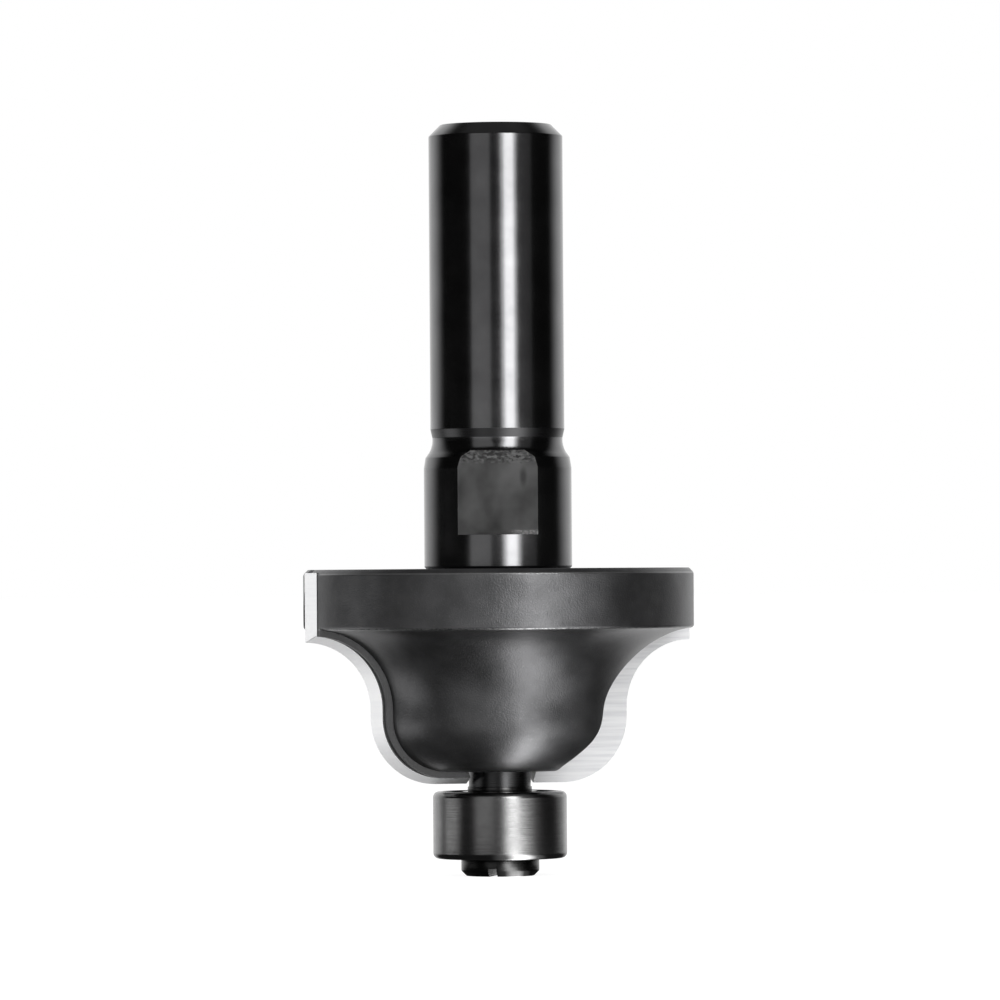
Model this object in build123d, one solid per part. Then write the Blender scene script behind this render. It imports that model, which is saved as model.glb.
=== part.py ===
"""Piloted Roman-ogee router bit, shank up.

Millimetres. The Z axis is the spin axis, +Z points to the shank end, and the origin is the
centre of the flat face under the pilot screw. The two wrench flats face -Y and +Y.
The bit turns clockwise as seen from the shank end.
"""
from build123d import *
import math
import os

# ---- pilot screw, lowest piece ------------------------------------------------------------
screw_head_diameter = 7.4
screw_head_height = 1.65
screw_head_chamfer = 0.5
screw_slot_width = 0.8
screw_slot_depth = 0.75
screw_slot_angle = 78.0
screw_thread_diameter = 3.0
screw_thread_length = 9.0

# ---- pilot bearing ------------------------------------------------------------------------
bearing_diameter = 12.7
bearing_bore = 4.76
bearing_height = 6.35
bearing_corner_radius = 0.55
ball_count = 7
ball_diameter = 2.38
race_wall_gap = 0.8
shield_recess_depth = 0.6
shield_seat_width = 0.35
shield_thickness = 0.2
snap_ring_thickness = 0.25
snap_ring_width = 0.45
snap_ring_opening = 24.0
cage_thickness = 0.18
cage_width = 0.8

# ---- spacer and neck ----------------------------------------------------------------------
spacer_diameter = 6.1
spacer_thickness = 0.45
neck_diameter = 5.88

# ---- cutting profile: bead below, cove above ----------------------------------------------
profile_radius = 6.35
waist_length = 0.77
neck_reveal = 0.3
side_edge_length = 6.55

# ---- cutter head --------------------------------------------------------------------------
head_below_profile = 1.2
land_below_profile = 0.6
disc_below_profile = 0.55
disc_above_tips = 0.3
disc_top_chamfer = 0.45
disc_lower_radius = 0.3
land_thickness = 0.5

# ---- carbide tips -------------------------------------------------------------------------
tip_count = 2
tip_angle = 17.0
tip_thickness = 2.0
tip_relief_angle = 17.0
tip_foot_distance = 3.3
tip_back_lean = 17.0

# ---- chip gullets, one ahead of each tip --------------------------------------------------
gullet_width = 8.9
gullet_throat = 1.8
gullet_throat_depth = 0.67
gullet_runout = 15.5
gullet_corner_radius = 1.5

# ---- arbor: shank, collar and spindle in one turned piece -----------------------------------
shank_diameter = 12.7
shank_length = 28.85
shank_end_chamfer = 1.1
relief_groove_diameter = 12.34
relief_groove_width = 1.75
relief_groove_runout = 0.77
shoulder_height = 0.93
shoulder_hollow_reach = 0.65
collar_edge_depth = 0.16
collar_edge_length = 1.0
collar_diameter = 14.0
collar_height = 10.52
collar_foot_chamfer = 0.2
spindle_diameter = 8.0
spindle_length = 14.0
spindle_chamfer = 0.4
journal_setback = 0.15
journal_chamfer = 0.25
flat_across = 11.8
flat_foot_height = 3.2
flat_length = 7.95

# ---- fits ---------------------------------------------------------------------------------
spindle_clearance = 0.02
bore_clearance = 0.01
race_clearance = 0.05
cage_clearance = 0.08
shield_gap = 0.13
thread_end_room = 0.6
cut_margin = 1.0

# ---- heights worked out from the pieces below ----------------------------------------------
bearing_foot = screw_head_height
bearing_middle = bearing_foot + bearing_height / 2
bearing_top = bearing_foot + bearing_height
spacer_top = bearing_top + spacer_thickness
profile_foot = spacer_top + neck_reveal
bead_centre_height = profile_foot + profile_radius
cove_centre_height = bead_centre_height + waist_length
cove_top_height = cove_centre_height + profile_radius
tip_top = cove_top_height + side_edge_length
head_top = tip_top + disc_above_tips
head_foot = profile_foot + head_below_profile
collar_top = head_top + collar_height
groove_foot = collar_top + shoulder_height
groove_top = groove_foot + relief_groove_width
shank_top = groove_top + shank_length

# ---- radii and places worked out from the sizes above --------------------------------------
bearing_radius = bearing_diameter / 2
ball_pitch_diameter = (bearing_bore + bearing_diameter) / 2
bead_centre_radius = bearing_radius
waist_radius = bead_centre_radius + profile_radius
cutting_radius = waist_radius + profile_radius
disc_radius = cutting_radius - disc_below_profile
inner_ring_radius = ball_pitch_diameter / 2 - race_wall_gap
outer_ring_inner_radius = ball_pitch_diameter / 2 + race_wall_gap
shield_seat_radius = outer_ring_inner_radius + shield_seat_width
race_radius = ball_diameter / 2 + race_clearance
spindle_foot = head_top - spindle_length


def box_between(low, high):
    """Box from its lowest corner to its highest corner."""
    size = [b - a for a, b in zip(low, high)]
    return Pos(*low) * Box(*size, align=(Align.MIN, Align.MIN, Align.MIN))


def disc_between(radius, low, high):
    """Solid cylinder on the spin axis."""
    return Pos(0, 0, low) * Cylinder(radius, high - low, align=(Align.CENTER, Align.CENTER, Align.MIN))


def ring_between(inner, outer, low, high):
    """Flat ring on the spin axis."""
    return disc_between(outer, low, high) - disc_between(inner, low - cut_margin, high + cut_margin)


def turned(outline):
    """Full turn about Z of a closed outline drawn as radius and height."""
    return revolve(Plane.XZ * make_face(outline), axis=Axis.Z)


def ogee_edge(inset, outer_radius):
    """Bead, waist and cove, set back from the cutting edge by inset, out to outer_radius."""
    bead_radius = profile_radius - inset
    cove_radius = profile_radius + inset
    waist = waist_radius - inset
    cove_reach = math.sqrt(cove_radius**2 - (cutting_radius - outer_radius)**2)
    bead_foot = (bead_centre_radius, bead_centre_height - bead_radius)
    waist_foot = (waist, bead_centre_height)
    waist_top = (waist, cove_centre_height)
    cove_end = (outer_radius, cove_centre_height + cove_reach)
    return [
        RadiusArc(bead_foot, waist_foot, -bead_radius),
        Line(waist_foot, waist_top),
        RadiusArc(waist_top, cove_end, cove_radius),
    ]


def ogee_solid(inset, outer_radius, top):
    """Turned ogee form, from its foot up to top."""
    curve = ogee_edge(inset, outer_radius)
    start = curve[0] @ 0
    end = curve[2] @ 1
    side = Polyline((end.X, end.Y), (outer_radius, top), (0, top), (0, start.Y), (start.X, start.Y))
    return turned(curve + [side])


def back_edge_distance(height):
    """Distance from the spin axis to the leaning back edge of a tip, and to the gullet floor."""
    return tip_foot_distance + (height - profile_foot) * math.tan(math.radians(tip_back_lean))


def tip_outline(top, inward):
    """Carbide tip in its own plane: cutting edge outside, leaning back edge moved inward."""
    curve = ogee_edge(0, cutting_radius)
    start = curve[0] @ 0
    end = curve[2] @ 1
    side = Polyline(
        (end.X, end.Y),
        (cutting_radius, top),
        (back_edge_distance(top) - inward, top),
        (tip_foot_distance - inward, profile_foot),
        (start.X, start.Y),
    )
    return make_face(curve + [side])


def tip_blank():
    """Tip with square edges all round: the shape of its brazed seat."""
    return extrude(Plane.XZ * tip_outline(tip_top, 0), amount=-tip_thickness)


def tip_solid():
    """Carbide tip, rake face on the XZ plane, with relief behind its cutting edges only."""
    oversize = Plane.XZ * tip_outline(tip_top + cut_margin, cut_margin)
    return extrude(oversize, amount=-tip_thickness, taper=tip_relief_angle) & tip_blank()


def gullet_section():
    """Gullet seen along a tip: upright wall, then a curved run-out into the throat of the disc."""
    low = profile_foot - cut_margin
    high = head_top + cut_margin
    throat_foot = head_top - disc_top_chamfer - gullet_throat_depth
    wall_top = throat_foot - gullet_runout
    run_out = TangentArc((-gullet_width, wall_top), (-gullet_throat, throat_foot), tangent=(0, 1))
    frame = Polyline(
        (-gullet_throat, throat_foot),
        (-gullet_throat, high),
        (0, high),
        (0, low),
        (-gullet_width, low),
        (-gullet_width, wall_top),
    )
    return make_face([run_out, frame])


def gullet_cutter():
    """Space swept clear ahead of a tip: wide at the bit's foot, a narrow throat at the disc."""
    low = profile_foot - cut_margin
    high = head_top + cut_margin
    reach = cutting_radius + cut_margin
    sweep = extrude(Plane.YZ * gullet_section(), amount=reach)
    outside = make_face(Polyline(
        (back_edge_distance(low), low),
        (reach, low),
        (reach, high),
        (back_edge_distance(high), high),
        close=True,
    ))
    block = extrude(Plane.XZ * outside, amount=gullet_width)
    far_floor = block.edges().group_by(Axis.Y)[0].sort_by(Axis.X)[0]
    return sweep & fillet(far_floor, gullet_corner_radius)


def make_arbor():
    """Shank, relief groove, wrench collar, spindle, neck and bearing journal, turned in one piece."""
    shank_radius = shank_diameter / 2
    collar_radius = collar_diameter / 2
    groove_radius = relief_groove_diameter / 2
    spindle_radius = spindle_diameter / 2
    neck_radius = neck_diameter / 2
    journal_radius = bearing_bore / 2 - bore_clearance
    journal_foot = bearing_foot + journal_setback
    outline = Polyline(
        (0, journal_foot),
        (journal_radius - journal_chamfer, journal_foot),
        (journal_radius, journal_foot + journal_chamfer),
        (journal_radius, spacer_top),
        (neck_radius, spacer_top),
        (neck_radius, spindle_foot),
        (spindle_radius - spindle_chamfer, spindle_foot),
        (spindle_radius, spindle_foot + spindle_chamfer),
        (spindle_radius, head_top),
        (collar_radius - collar_foot_chamfer, head_top),
        (collar_radius, head_top + collar_foot_chamfer),
        (collar_radius, collar_top - collar_edge_length),
        (collar_radius - collar_edge_depth, collar_top),
        (groove_radius, groove_foot),
        (groove_radius, groove_top - relief_groove_runout),
        (shank_radius, groove_top),
        (shank_radius, shank_top - shank_end_chamfer),
        (shank_radius - shank_end_chamfer, shank_top),
        (0, shank_top),
        close=True,
    )
    shoulder_turn = math.atan2(collar_radius - collar_edge_depth - groove_radius, shoulder_height)
    hollow_radius = shoulder_hollow_reach / math.tan(abs(shoulder_turn) / 2)
    hollow_corner = outline.vertices().sort_by_distance((groove_radius, groove_foot, 0))[0]
    arbor = turned(outline.fillet_2d(hollow_radius, [hollow_corner]))
    flat_foot = head_top + flat_foot_height
    for side in (-1, 1):
        near = side * flat_across / 2
        far = side * collar_diameter
        arbor -= box_between(
            (-collar_diameter, min(near, far), flat_foot),
            (collar_diameter, max(near, far), flat_foot + flat_length),
        )
    tapped_top = bearing_foot + screw_thread_length + thread_end_room
    return arbor - disc_between(
        screw_thread_diameter / 2 + bore_clearance, bearing_foot - cut_margin, tapped_top)


def head_body():
    """Disc and bell of the head as one turned form."""
    body = ogee_solid(head_below_profile, disc_radius, head_top)
    top_rim = body.edges().filter_by(GeomType.CIRCLE).sort_by(Axis.Z)[-1]
    body = chamfer(top_rim, disc_top_chamfer)
    disc_rims = body.edges().filter_by(lambda edge: edge.geom_type == GeomType.CIRCLE
                                       and abs(edge.radius - disc_radius) < 0.001)
    return fillet(disc_rims.sort_by(Axis.Z)[0], disc_lower_radius)


def tip_land():
    """Raised land of steel that backs a tip, following its edge a little lower."""
    form = ogee_solid(land_below_profile, disc_radius, head_top - disc_top_chamfer)
    land_back = tip_thickness + land_thickness
    slab = box_between((spindle_diameter / 2, 0, profile_foot), (cutting_radius, land_back, head_top))
    return form & slab


def make_cutter_head():
    """Turned head with a tip seat, a raised land behind it and a gullet ahead of it at each tip."""
    body = head_body()
    land = tip_land()
    cutter = gullet_cutter()
    seat = tip_blank()
    for index in range(tip_count):
        turn = Rot(0, 0, tip_angle + index * 360 / tip_count)
        body += turn * land
        body -= turn * cutter
        body -= turn * seat
    spindle_bore = spindle_diameter / 2 + spindle_clearance
    neck_bore = neck_diameter / 2 + spindle_clearance
    body -= disc_between(spindle_bore, spindle_foot - spindle_clearance, head_top + cut_margin)
    return body - disc_between(neck_bore, profile_foot - cut_margin, head_top)


def make_tip(index):
    """One carbide tip, brazed in its seat."""
    return Rot(0, 0, tip_angle + index * 360 / tip_count) * tip_solid()


def make_pilot_screw():
    """Slotted cheese-head screw that holds the bearing on its journal."""
    head_radius = screw_head_diameter / 2
    outline = Polyline(
        (0, 0),
        (head_radius - screw_head_chamfer, 0),
        (head_radius, screw_head_chamfer),
        (head_radius, screw_head_height),
        (0, screw_head_height),
        close=True,
    )
    screw = turned(outline)
    screw += disc_between(
        screw_thread_diameter / 2, screw_head_height, screw_head_height + screw_thread_length)
    slot = box_between(
        (-screw_head_diameter, -screw_slot_width / 2, -cut_margin),
        (screw_head_diameter, screw_slot_width / 2, screw_slot_depth),
    )
    return screw - Rot(0, 0, screw_slot_angle) * slot


def make_spacer():
    """Thin washer that keeps the head clear of the turning outer ring."""
    return ring_between(bearing_bore / 2, spacer_diameter / 2, bearing_top, spacer_top)


def race_groove():
    """Torus that the balls roll in."""
    return Pos(0, 0, bearing_middle) * Torus(ball_pitch_diameter / 2, race_radius)


def make_inner_ring():
    """Inner ring, clamped between spacer and screw head."""
    ring = ring_between(bearing_bore / 2, inner_ring_radius, bearing_foot, bearing_top)
    return ring - race_groove()


def make_outer_ring():
    """Outer ring: the guide surface that rolls along the work."""
    rim = disc_between(bearing_radius, bearing_foot, bearing_top)
    rim = fillet(rim.edges().filter_by(GeomType.CIRCLE), bearing_corner_radius)
    ring = rim - disc_between(
        outer_ring_inner_radius, bearing_foot - cut_margin, bearing_top + cut_margin)
    ring -= disc_between(
        shield_seat_radius, bearing_foot - cut_margin, bearing_foot + shield_recess_depth)
    ring -= disc_between(
        shield_seat_radius, bearing_top - shield_recess_depth, bearing_top + cut_margin)
    return ring - race_groove()


def ball_place(index):
    """Centre of one ball on the pitch circle."""
    angle = math.radians(index * 360 / ball_count)
    radius = ball_pitch_diameter / 2
    return Pos(radius * math.cos(angle), radius * math.sin(angle), bearing_middle)


def make_cage_half(side):
    """Pressed half cage: flat between the balls and domed round each one. side is 1 above, -1 below."""
    inner = (ball_pitch_diameter - cage_width) / 2
    outer = (ball_pitch_diameter + cage_width) / 2
    pocket_radius = ball_diameter / 2 + cage_clearance
    dome_radius = pocket_radius + cage_thickness
    cage = ring_between(inner, outer, bearing_middle, bearing_middle + cage_thickness)
    band = ring_between(inner, outer, bearing_middle, bearing_middle + dome_radius + cut_margin)
    for index in range(ball_count):
        cage += (ball_place(index) * Sphere(dome_radius)) & band
    for index in range(ball_count):
        cage -= ball_place(index) * Sphere(pocket_radius)
    if side < 0:
        cage = mirror(cage, about=Plane.XY.offset(bearing_middle))
    return cage


def shield_low(side, thickness, inset):
    """Lowest height of a flat ring that lies inset deep under the bearing's end face."""
    if side > 0:
        return bearing_top - inset - thickness
    return bearing_foot + inset


def make_shield(side):
    """Thin shield on the ledge of the outer ring, just clear of the inner ring."""
    low = shield_low(side, shield_thickness, shield_recess_depth - shield_thickness)
    return ring_between(
        inner_ring_radius + shield_gap, shield_seat_radius, low, low + shield_thickness)


def make_snap_ring(side):
    """Split ring that holds a shield on its ledge."""
    inset = shield_recess_depth - shield_thickness - snap_ring_thickness
    low = shield_low(side, snap_ring_thickness, inset)
    ring = ring_between(
        shield_seat_radius - snap_ring_width, shield_seat_radius, low, low + snap_ring_thickness)
    half = math.radians(snap_ring_opening / 2)
    reach = bearing_diameter
    opening = make_face(Polyline(
        (0, 0),
        (reach * math.cos(half), -reach * math.sin(half)),
        (reach * math.cos(half), reach * math.sin(half)),
        close=True,
    ))
    return ring - extrude(Pos(0, 0, low - cut_margin) * opening, amount=bearing_height)


def all_pieces():
    """Every piece by name."""
    pieces = {
        "arbor": make_arbor(),
        "cutter_head": make_cutter_head(),
        "carbide_tip_right": make_tip(0),
        "carbide_tip_left": make_tip(1),
        "spacer_washer": make_spacer(),
        "pilot_screw": make_pilot_screw(),
        "bearing_inner_ring": make_inner_ring(),
        "bearing_outer_ring": make_outer_ring(),
    }
    for name, side in (("upper", 1), ("lower", -1)):
        pieces["cage_" + name] = make_cage_half(side)
        pieces["shield_" + name] = make_shield(side)
        pieces["snap_ring_" + name] = make_snap_ring(side)
    for index in range(ball_count):
        pieces[f"ball_{index + 1}"] = ball_place(index) * Sphere(ball_diameter / 2)
    return pieces


os.makedirs("parts", exist_ok=True)
for piece_name, piece in all_pieces().items():
    piece.label = piece_name
    export_step(piece, f"parts/{piece_name}.step")
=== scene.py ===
# %% [markdown]
# # A piloted ogee router bit
#
# The bit stands on its pilot screw with the shank up. From the top it has a blackened arbor
# with a wrench collar, a grit-blasted cutter head, two brazed carbide tips, a spacer and a
# ball-bearing pilot held by a slotted screw. The solids arrive as a fixed frame in metres.
# The turned pieces are modelled again here, because a lathe part wants an even ring of faces
# for its long reflections, while the small pieces inside the bearing keep their solids and
# only receive a finish.

# %% Load the frame
import math

import bmesh
import bpy
from mathutils import Matrix, Vector


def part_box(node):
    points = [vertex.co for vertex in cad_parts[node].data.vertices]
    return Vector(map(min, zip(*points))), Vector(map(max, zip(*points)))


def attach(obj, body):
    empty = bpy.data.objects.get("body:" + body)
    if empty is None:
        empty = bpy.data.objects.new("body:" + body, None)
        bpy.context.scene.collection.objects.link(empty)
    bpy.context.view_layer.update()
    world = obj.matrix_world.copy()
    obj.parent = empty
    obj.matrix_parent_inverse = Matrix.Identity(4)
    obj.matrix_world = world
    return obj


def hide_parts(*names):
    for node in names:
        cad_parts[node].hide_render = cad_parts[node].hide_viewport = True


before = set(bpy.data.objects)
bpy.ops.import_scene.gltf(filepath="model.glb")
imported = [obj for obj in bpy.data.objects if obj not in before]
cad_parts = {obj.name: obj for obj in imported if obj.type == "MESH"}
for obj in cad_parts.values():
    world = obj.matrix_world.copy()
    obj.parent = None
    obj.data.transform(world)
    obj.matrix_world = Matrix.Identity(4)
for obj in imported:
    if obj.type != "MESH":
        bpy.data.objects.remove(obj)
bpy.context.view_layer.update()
print("nodes in the frame:", len(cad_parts))

# %% [markdown]
# ## Sizes
#
# Outer sizes come from the frame, so a piece always fills the place of its solid. What the
# boxes can't tell, such as an arc's radius or the depth of a groove, is named where the
# piece that needs it is made, in millimetres times `MM`.

# %% Sizes that several pieces share
MM = 0.001
arbor_low, arbor_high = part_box("arbor")
ring_low, ring_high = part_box("bearing_outer_ring")
screw_low, screw_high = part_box("pilot_screw")
spacer_low, spacer_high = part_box("spacer_washer")
tip_low, tip_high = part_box("carbide_tip_right")
head_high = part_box("cutter_head")[1]

head_top = head_high.z
disc_radius = head_high.x
bearing_radius = ring_high.x
profile_radius = bearing_radius
waist_radius = bearing_radius + profile_radius
cutting_radius = waist_radius + profile_radius
profile_foot = tip_low.z
tip_top = tip_high.z
waist_length = 0.77 * MM
cove_top = profile_foot + 2 * profile_radius + waist_length
print(f"cutting radius {cutting_radius / MM:.2f} mm, profile from {profile_foot / MM:.2f} "
      f"to {cove_top / MM:.2f} mm, tips up to {tip_top / MM:.2f} mm")

# %% [markdown]
# ## Turning on a lathe
#
# Nearly everything on this bit is turned. An outline of a few corners is drawn in the plane
# through the axis, single corners are rounded with a vertex bevel (at a square corner its
# profile of 0.5 is a true arc), and a full spin makes the skin. Rounding in the outline is
# cheaper and cleaner than bevelling a finished solid, because every arc becomes whole rings.

# %% Outline and spin helpers
SPIN_STEPS = 256
MERGE_DISTANCE = 0.0005 * MM


def outline(corners, closed=True):
    """Starts a mesh from corners given as (radius, height), joined by edges."""
    mesh = bmesh.new()
    verts = [mesh.verts.new((radius, 0, height)) for radius, height in corners]
    for first, second in zip(verts, verts[1:]):
        mesh.edges.new((first, second))
    if closed:
        mesh.edges.new((verts[-1], verts[0]))
    return mesh


def corner_near(mesh, radius, height):
    """The outline's vertex nearest to a place."""
    place = Vector((radius, 0, height))
    return min(mesh.verts, key=lambda vert: (vert.co - place).length)


def round_corner(mesh, radius, height, amount, segments=3):
    """Rounds the corner at a place, starting the arc amount away from it on both sides."""
    bmesh.ops.bevel(
        mesh, geom=[corner_near(mesh, radius, height)], offset=amount, offset_type="OFFSET",
        segments=segments, profile=0.5, affect="VERTICES", material=-1)


def spin_outline(mesh):
    """Turns the outline about the axis, closes the poles and points the faces outwards."""
    bmesh.ops.spin(
        mesh, geom=mesh.verts[:] + mesh.edges[:], cent=(0, 0, 0), axis=(0, 0, 1),
        angle=2 * math.pi, steps=SPIN_STEPS, use_merge=True)
    bmesh.ops.remove_doubles(mesh, verts=mesh.verts[:], dist=MERGE_DISTANCE)
    bmesh.ops.recalc_face_normals(mesh, faces=mesh.faces[:])
    return mesh


# %% [markdown]
# A finished mesh becomes an object at the origin, because its place is already in its mesh.
# Faces are shaded smooth, and an edge stays sharp where they meet at a clear angle. A wide
# face beside a narrow one would still tilt the shading between them and bend a long
# reflection, so the normals are weighted by area: the wide true surfaces keep their own
# direction, and the narrow rounded edges take the turn.

# %% Piece helper
SHARP_ANGLE = math.radians(24)


def smooth_but_sharp(mesh):
    """Shades faces smooth, with a sharp edge where they meet at more than SHARP_ANGLE."""
    for face in mesh.faces:
        face.smooth = True
    for edge in mesh.edges:
        edge.smooth = edge.is_manifold and edge.calc_face_angle() < SHARP_ANGLE


def make_object(name, mesh):
    """Turns a finished bmesh into an object at the origin."""
    smooth_but_sharp(mesh)
    data = bpy.data.meshes.new(name)
    mesh.to_mesh(data)
    mesh.free()
    thing = bpy.data.objects.new(name, data)
    bpy.context.scene.collection.objects.link(thing)
    return thing


def make_piece(name, mesh, body, node):
    """Makes an object that stands for a solid, hides that solid and rides on a body."""
    piece = make_object(name, mesh)
    shading = piece.modifiers.new("even_shading", "WEIGHTED_NORMAL")
    shading.mode = "FACE_AREA"
    shading.keep_sharp = True
    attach(piece, body)
    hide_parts(node)
    print(f"{name}: {len(piece.data.polygons)} faces")
    return piece


# %% [markdown]
# ## Cutting with another solid
#
# Flats, slots and gullets are milled on the real bit, so here they are cut with a boolean:
# the milling cutter is a second mesh. Drawing an opening into the spun skin would break its
# even rings, while the exact solver keeps every face that the cutter doesn't meet. Its weak
# spot is two faces in one plane, which can leave a sheet with no thickness. So a cutter
# reaches well past the surface that it cuts, or stops a hair away from a face beside it.

# %% Boolean helper
def carve(mesh, tool, operation="DIFFERENCE"):
    """Returns mesh after a boolean with tool. Both meshes are used up."""
    work = make_object("work", mesh)
    other = make_object("tool", tool)
    modifier = work.modifiers.new("carve", "BOOLEAN")
    modifier.operation = operation
    modifier.solver = "EXACT"
    modifier.object = other
    graph = bpy.context.evaluated_depsgraph_get()
    result = bmesh.new()
    result.from_mesh(work.evaluated_get(graph).to_mesh())
    work.evaluated_get(graph).to_mesh_clear()
    for thing in (work, other):
        data = thing.data
        bpy.data.objects.remove(thing)
        bpy.data.meshes.remove(data)
    bmesh.ops.remove_doubles(result, verts=result.verts[:], dist=MERGE_DISTANCE)
    return result


def block(low, high):
    """A box between two corners."""
    mesh = bmesh.new()
    bmesh.ops.create_cube(mesh, size=1)
    size = [b - a for a, b in zip(low, high)]
    middle = [(a + b) / 2 for a, b in zip(low, high)]
    bmesh.ops.scale(mesh, vec=size, verts=mesh.verts[:])
    bmesh.ops.translate(mesh, vec=middle, verts=mesh.verts[:])
    return mesh


def turn_mesh(mesh, degrees):
    """Turns a mesh about the spin axis."""
    turn = Matrix.Rotation(math.radians(degrees), 3, "Z")
    bmesh.ops.rotate(mesh, cent=(0, 0, 0), matrix=turn, verts=mesh.verts[:])
    return mesh


# %% [markdown]
# ## Arbor
#
# Shank, relief groove, wrench collar, neck and bearing journal are turned from one bar. Each
# outside corner gets a hair of rounding, as a lathe hand breaks an edge with a file: without
# it the edge could never catch a line of light. The groove runs into the shoulder in a
# hollow, so that corner is rounded far more.

# %% Arbor sizes
shank_radius = 6.35 * MM
shank_end_chamfer = 1.1 * MM
groove_radius = 6.17 * MM
groove_runout = 0.77 * MM
hollow_reach = 0.65 * MM
collar_radius = arbor_high.x
collar_edge_depth = 0.16 * MM
collar_edge_length = 1.0 * MM
collar_top = head_top + 10.52 * MM
groove_foot = collar_top + 0.93 * MM
groove_top = groove_foot + 1.75 * MM
spindle_radius = 4.0 * MM
spindle_foot = head_top - 14.0 * MM
neck_radius = 2.94 * MM
journal_radius = 2.37 * MM
collar_foot_chamfer = 0.2 * MM
broken_edge = 0.06 * MM
flat_distance = 5.9 * MM
flat_foot = head_top + 3.2 * MM
flat_length = 7.95 * MM
print(f"collar up to {collar_top / MM:.2f} mm, groove up to {groove_top / MM:.2f} mm")

# %% Turn the arbor
arbor_mesh = outline([
    (0, arbor_low.z),
    (journal_radius, arbor_low.z),
    (journal_radius, spacer_high.z),
    (neck_radius, spacer_high.z),
    (neck_radius, spindle_foot),
    (spindle_radius, spindle_foot),
    (spindle_radius, head_top),
    (collar_radius - collar_foot_chamfer, head_top),
    (collar_radius, head_top + collar_foot_chamfer),
    (collar_radius, collar_top - collar_edge_length),
    (collar_radius - collar_edge_depth, collar_top),
    (groove_radius, groove_foot),
    (groove_radius, groove_top - groove_runout),
    (shank_radius, groove_top),
    (shank_radius, arbor_high.z - shank_end_chamfer),
    (shank_radius - shank_end_chamfer, arbor_high.z),
    (0, arbor_high.z),
], closed=False)
round_corner(arbor_mesh, groove_radius, groove_foot, hollow_reach, segments=8)
for corner_radius, corner_height in (
        (shank_radius - shank_end_chamfer, arbor_high.z),
        (shank_radius, arbor_high.z - shank_end_chamfer),
        (shank_radius, groove_top),
        (groove_radius, groove_top - groove_runout),
        (collar_radius - collar_edge_depth, collar_top),
        (collar_radius, collar_top - collar_edge_length),
        (collar_radius, head_top + collar_foot_chamfer)):
    round_corner(arbor_mesh, corner_radius, corner_height, broken_edge)
spin_outline(arbor_mesh)

# %% Mill the wrench flats
for side in (-1, 1):
    reach = side * 2 * collar_radius
    near = side * flat_distance
    arbor_mesh = carve(arbor_mesh, block(
        (-2 * collar_radius, min(near, reach), flat_foot),
        (2 * collar_radius, max(near, reach), flat_foot + flat_length)))
arbor = make_piece("turned_arbor", arbor_mesh, "bit", "arbor")

# %% [markdown]
# ## The ogee
#
# Head, lands and tips share one profile: a quarter-round bead below, a short straight waist
# and a quarter-round cove above, set back by a different amount for each. Two square corners
# and two vertex bevels draw it. What is left straight between the bevels is the waist. A
# drawn S of many points would need its own sums for each setback, and this one needs none.

# %% Ogee corners
ARC_SEGMENTS = 24


def ogee_corners(setback):
    """The profile's three corners, from the foot up, set back from the cutting edge."""
    return [
        (waist_radius - setback, profile_foot + setback),
        (waist_radius - setback, cove_top + setback),
        (cutting_radius, cove_top + setback),
    ]


def round_ogee(mesh, setback):
    """Rounds the waist's two corners. An arc may end on the next corner, so doubles are merged."""
    waist = waist_radius - setback
    round_corner(mesh, waist, profile_foot + setback, profile_radius - setback, ARC_SEGMENTS)
    round_corner(mesh, waist, cove_top + setback, profile_radius + setback, ARC_SEGMENTS)
    bmesh.ops.remove_doubles(mesh, verts=mesh.verts[:], dist=MERGE_DISTANCE)


# %% [markdown]
# ## Cutter head
#
# The head is a turned bell under a disc. Behind each tip a raised land of steel backs the
# carbide, and ahead of it a gullet lets the chips out. The cove of the bell runs out at the
# disc's side before its arc is finished, so the half section is filled, cut by a plane at
# the disc's radius and emptied again before it is spun.

# %% Cutter head sizes
body_setback = 1.2 * MM
land_setback = 0.6 * MM
disc_top_chamfer = 0.45 * MM
disc_upper_radius = 0.16 * MM
disc_lower_radius = 0.3 * MM
land_thickness = 0.5 * MM
tip_thickness = 2.0 * MM
tip_angles = (17.0, 197.0)
fit = 0.02 * MM


def ogee_section(setback, outer_radius, inner_corners):
    """Outline of half a turned ogee form, cut off at an outer radius."""
    top = inner_corners[0][1]
    mesh = outline(inner_corners + ogee_corners(setback) + [(cutting_radius, top)])
    round_ogee(mesh, setback)
    bmesh.ops.contextual_create(mesh, geom=mesh.edges[:])
    bmesh.ops.bisect_plane(
        mesh, geom=mesh.verts[:] + mesh.edges[:] + mesh.faces[:],
        plane_co=(outer_radius, 0, 0), plane_no=(1, 0, 0), clear_outer=True)
    bmesh.ops.delete(mesh, geom=mesh.faces[:], context="FACES_ONLY")
    return mesh


# %% Turn the bell and disc
neck_bore = neck_radius + fit
spindle_bore = spindle_radius + fit
head_mesh = ogee_section(body_setback, disc_radius, [
    (spindle_bore, head_top),
    (spindle_bore, spindle_foot - fit),
    (neck_bore, spindle_foot - fit),
    (neck_bore, profile_foot + body_setback),
])
disc_foot = min(vert.co.z for vert in head_mesh.verts
                if disc_radius - vert.co.x < MERGE_DISTANCE)
round_corner(head_mesh, disc_radius, disc_foot, disc_lower_radius, segments=6)
round_corner(head_mesh, disc_radius, head_top, disc_top_chamfer, segments=1)
round_corner(head_mesh, disc_radius, head_top - disc_top_chamfer, disc_upper_radius, segments=5)
round_corner(head_mesh, disc_radius - disc_top_chamfer, head_top, broken_edge)
spin_outline(head_mesh)
print(f"disc side from {disc_foot / MM:.2f} to {(head_top - disc_top_chamfer) / MM:.2f} mm")

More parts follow.
